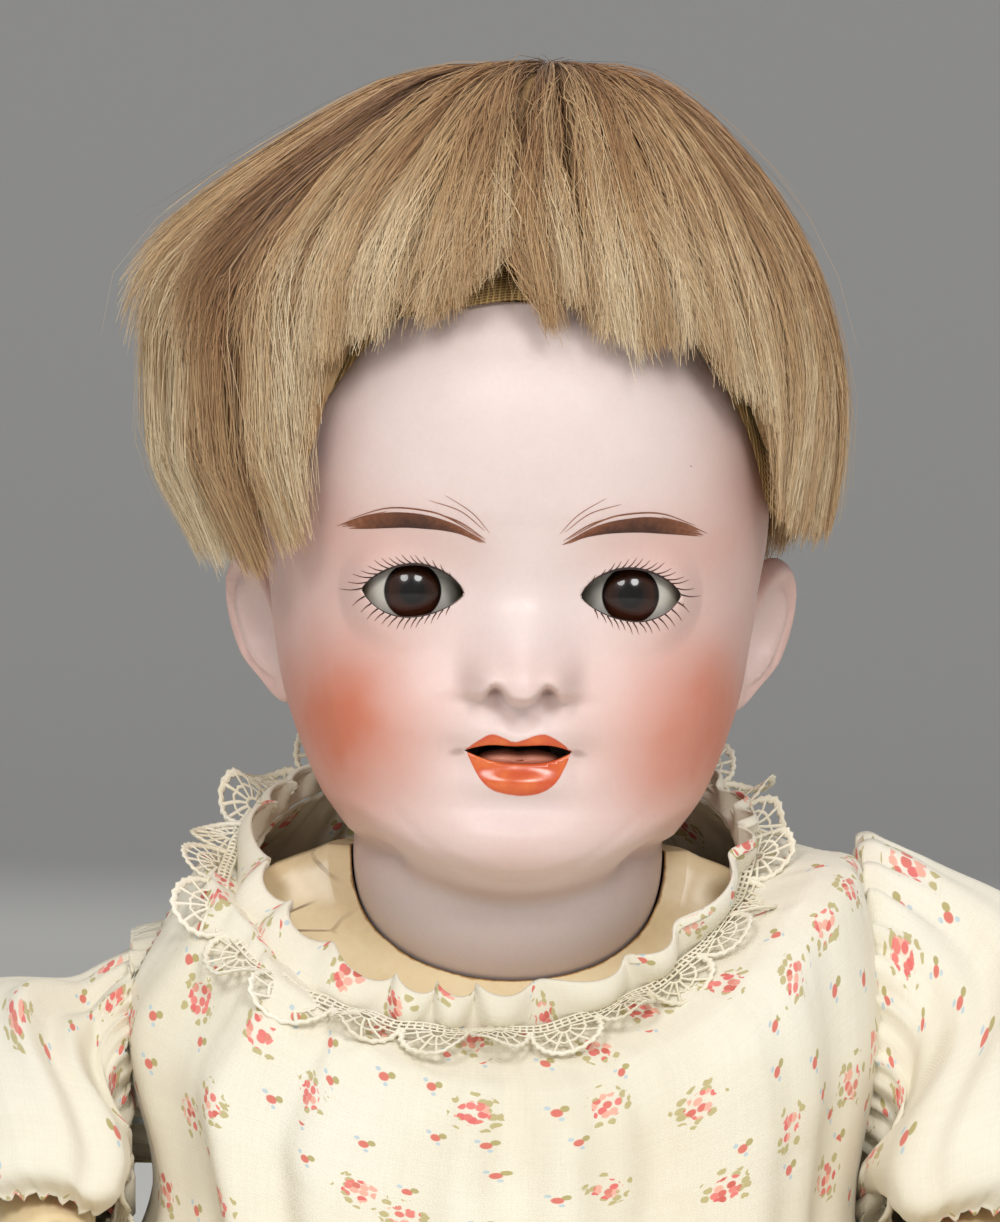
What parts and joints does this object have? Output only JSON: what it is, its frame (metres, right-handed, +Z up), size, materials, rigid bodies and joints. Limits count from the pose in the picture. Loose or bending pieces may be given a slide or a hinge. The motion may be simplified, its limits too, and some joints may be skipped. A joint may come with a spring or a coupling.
{
  "type": "baby doll",
  "caption": "Seated bisque-headed baby doll with sleeping glass eyes, blond mohair bowl wig, jointed composition limbs and a lace-collared cotton print dress.",
  "frame": {"origin": "the middle of the torso's flat seat, on the surface the doll sits on", "axes": "+Z up through the head, -Y the way the face looks, +X towards the doll's own left hand"},
  "size_m": [0.2162, 0.2237, 0.298],
  "materials": {
    "bisque": "satin tinted bisque",
    "pate": "pressed card",
    "wig_cap": "woven net",
    "mohair": "cut mohair",
    "eye_glass": "polished blown glass, opaque",
    "lid_wax": "tinted wax",
    "plaster": "plaster",
    "wire": "drawn wire",
    "weight": "cast, dull",
    "cork": "cork",
    "felt": "felt",
    "turned_wood": "turned, bare",
    "composition": "painted and varnished composition, worn",
    "elastic": "covered elastic",
    "cotton": "fine printed cotton",
    "lace": "crocheted cotton lace",
    "button": "polished"
  },
  "bodies": {
    "torso": {"torso_shell": "composition", "arm_elastic": "elastic", "leg_elastic": "elastic", "dress_front": "cotton", "dress_back_right": "cotton", "dress_back_left": "cotton", "dress_sleeve_left": "cotton", "dress_sleeve_right": "cotton", "neck_ruffle": "cotton", "neck_lace": "lace", "dress_button_1": "button", "dress_button_2": "button", "dress_button_3": "button"},
    "neck": {"neck_button": "turned_wood", "neck_hook": "wire"},
    "head": {"head_shell": "bisque", "crown_pate": "pate", "wig_cap": "wig_cap", "wig_hair": "mohair", "eye_bearing_left": "plaster", "eye_bearing_right": "plaster", "eye_stop": "cork", "tongue": "felt"},
    "eyes": {"glass_eye_left": "eye_glass", "glass_eye_right": "eye_glass", "eyelid_left": "lid_wax", "eyelid_right": "lid_wax", "eye_plaster_left": "plaster", "eye_plaster_right": "plaster", "eye_bow": "wire", "eye_weight": "weight"},
    "arm_left": {"arm_left": "composition", "arm_plug_left": "turned_wood", "arm_hook_left": "wire", "sleeve_band_left": "cotton", "sleeve_lace_left": "lace"},
    "arm_right": {"arm_right": "composition", "arm_plug_right": "turned_wood", "arm_hook_right": "wire", "sleeve_band_right": "cotton", "sleeve_lace_right": "lace"},
    "leg_left": {"leg_left": "composition", "leg_plug_left": "turned_wood", "leg_hook_left": "wire"},
    "leg_right": {"leg_right": "composition", "leg_plug_right": "turned_wood", "leg_hook_right": "wire"}
  },
  "joints": [
    {"name": "head_nod", "type": "hinge", "parent": "torso", "child": "neck", "pos_m": [0, 0, 0.15], "axis": [1, 0, 0], "range_deg": [-8, 8], "deforming": ["leg_elastic", "arm_elastic", "neck_ruffle"]},
    {"name": "head_turn", "type": "hinge", "parent": "neck", "child": "head", "pos_m": [0, 0, 0.15], "axis": [0, 0, 1], "range_deg": [-35, 35], "deforming": ["neck_ruffle"]},
    {"name": "eye_tilt", "type": "hinge", "parent": "head", "child": "eyes", "pos_m": [0, -0.032, 0.2], "axis": [1, 0, 0], "range_deg": [0, 65]},
    {"name": "arm_left_swing", "type": "hinge", "parent": "torso", "child": "arm_left", "pos_m": [0.046, 0.01, 0.116], "axis": [-1, 0, 0], "range_deg": [-3, 100], "deforming": ["arm_elastic", "dress_sleeve_left"]},
    {"name": "arm_right_swing", "type": "hinge", "parent": "torso", "child": "arm_right", "pos_m": [-0.046, 0.01, 0.116], "axis": [-1, 0, 0], "range_deg": [-3, 100], "deforming": ["arm_elastic", "dress_sleeve_right"]},
    {"name": "leg_left_swing", "type": "hinge", "parent": "torso", "child": "leg_left", "pos_m": [0.038, -0.004, 0.03], "axis": [-1, 0, 0], "range_deg": [-75, 4], "deforming": ["leg_elastic", "dress_front", "dress_back_left"]},
    {"name": "leg_right_swing", "type": "hinge", "parent": "torso", "child": "leg_right", "pos_m": [-0.038, -0.004, 0.03], "axis": [-1, 0, 0], "range_deg": [-75, 4], "deforming": ["leg_elastic", "dress_front", "dress_back_right"]}
  ]
}
